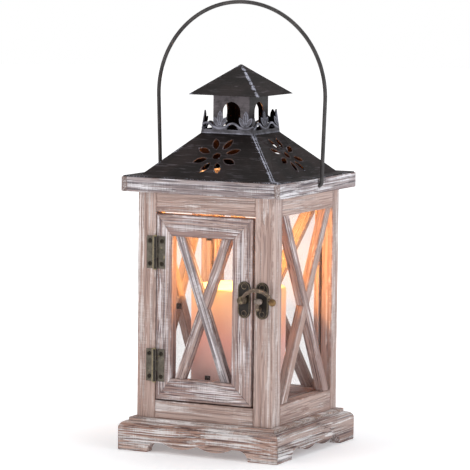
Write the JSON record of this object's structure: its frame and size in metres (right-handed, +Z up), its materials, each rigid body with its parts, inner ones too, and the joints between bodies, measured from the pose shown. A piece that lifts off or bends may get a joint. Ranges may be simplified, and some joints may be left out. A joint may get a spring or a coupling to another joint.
{
  "type": "hanging lantern",
  "caption": "Square wooden candle lantern with crossed bars, a hinged glazed door with a swing latch, a pierced metal roof with a vent turret, and a wire handle.",
  "frame": {"origin": "middle of the base, on the surface the lantern stands on", "axes": "+Z up, the door faces -Y, +X to the right seen from the front"},
  "size_m": [0.15, 0.14, 0.3536],
  "materials": {
    "whitewashed_wood": "whitewashed pine, dry-brushed white over greyed brown, matt",
    "pale_wood": "whitewashed pine strip, matt",
    "dark_metal": "charcoal paint rubbed with silver at the edges, satin",
    "pewter_metal": "pewter grey paint, dry-brushed, satin",
    "bronze": "antique bronze plating, darkened",
    "steel": "plain zinc-plated screws",
    "glass": "clear window glass",
    "wax": "ivory candle wax",
    "cord": "cotton wick, charred"
  },
  "bodies": {
    "lantern": {"base_front": "whitewashed_wood", "base_back": "whitewashed_wood", "base_left": "whitewashed_wood", "base_right": "whitewashed_wood", "floor_board": "whitewashed_wood", "post_front_left": "whitewashed_wood", "post_front_right": "whitewashed_wood", "post_back_left": "whitewashed_wood", "post_back_right": "whitewashed_wood", "top_rail_front": "whitewashed_wood", "top_rail_back": "whitewashed_wood", "top_rail_left": "whitewashed_wood", "top_rail_right": "whitewashed_wood", "sill_front": "whitewashed_wood", "sill_back": "whitewashed_wood", "sill_left": "whitewashed_wood", "sill_right": "whitewashed_wood", "bar_left_outer": "whitewashed_wood", "bar_left_inner": "whitewashed_wood", "bar_right_outer": "whitewashed_wood", "bar_right_inner": "whitewashed_wood", "bar_back_outer": "whitewashed_wood", "bar_back_inner": "whitewashed_wood", "pane_left": "glass", "pane_right": "glass", "pane_back": "glass", "hinge_upper_post_leaf": "bronze", "hinge_lower_post_leaf": "bronze", "hinge_pins": "bronze", "frame_screws": "bronze", "catch_plate": "bronze", "lid_panel": "whitewashed_wood", "lid_edge_left": "pale_wood", "lid_edge_right": "pale_wood", "lid_screws": "steel", "floor_screws": "steel", "roof_skirt": "dark_metal", "crown": "pewter_metal", "turret": "pewter_metal", "cap": "dark_metal", "candle": "wax", "wick": "cord"},
    "door": {"door_stile_hinge": "whitewashed_wood", "door_stile_latch": "whitewashed_wood", "door_rail_top": "whitewashed_wood", "door_rail_bottom": "whitewashed_wood", "door_bar_outer": "whitewashed_wood", "door_bar_inner": "whitewashed_wood", "door_pane": "glass", "pane_clips": "bronze", "clip_screws": "steel", "hinge_upper_door_leaf": "bronze", "hinge_lower_door_leaf": "bronze", "door_screws": "bronze", "latch_plate": "bronze", "latch_rivet": "bronze"},
    "hook": {"latch_hook": "bronze"},
    "handle": {"bail": "dark_metal"}
  },
  "joints": [
    {"name": "door_hinge", "type": "hinge", "parent": "lantern", "child": "door", "pos_m": [-0.0428, -0.0611, 0.1125], "axis": [0, 0, -1], "range_deg": [0, 175]},
    {"name": "hook_pivot", "type": "hinge", "parent": "door", "child": "hook", "pos_m": [0.0347, -0.0648, 0.1246], "axis": [0, -1, 0], "range_deg": [0, 100]},
    {"name": "handle_swing", "type": "hinge", "parent": "lantern", "child": "handle", "pos_m": [0, 0, 0.21025], "axis": [1, 0, 0], "range_deg": [-145, 95]}
  ]
}
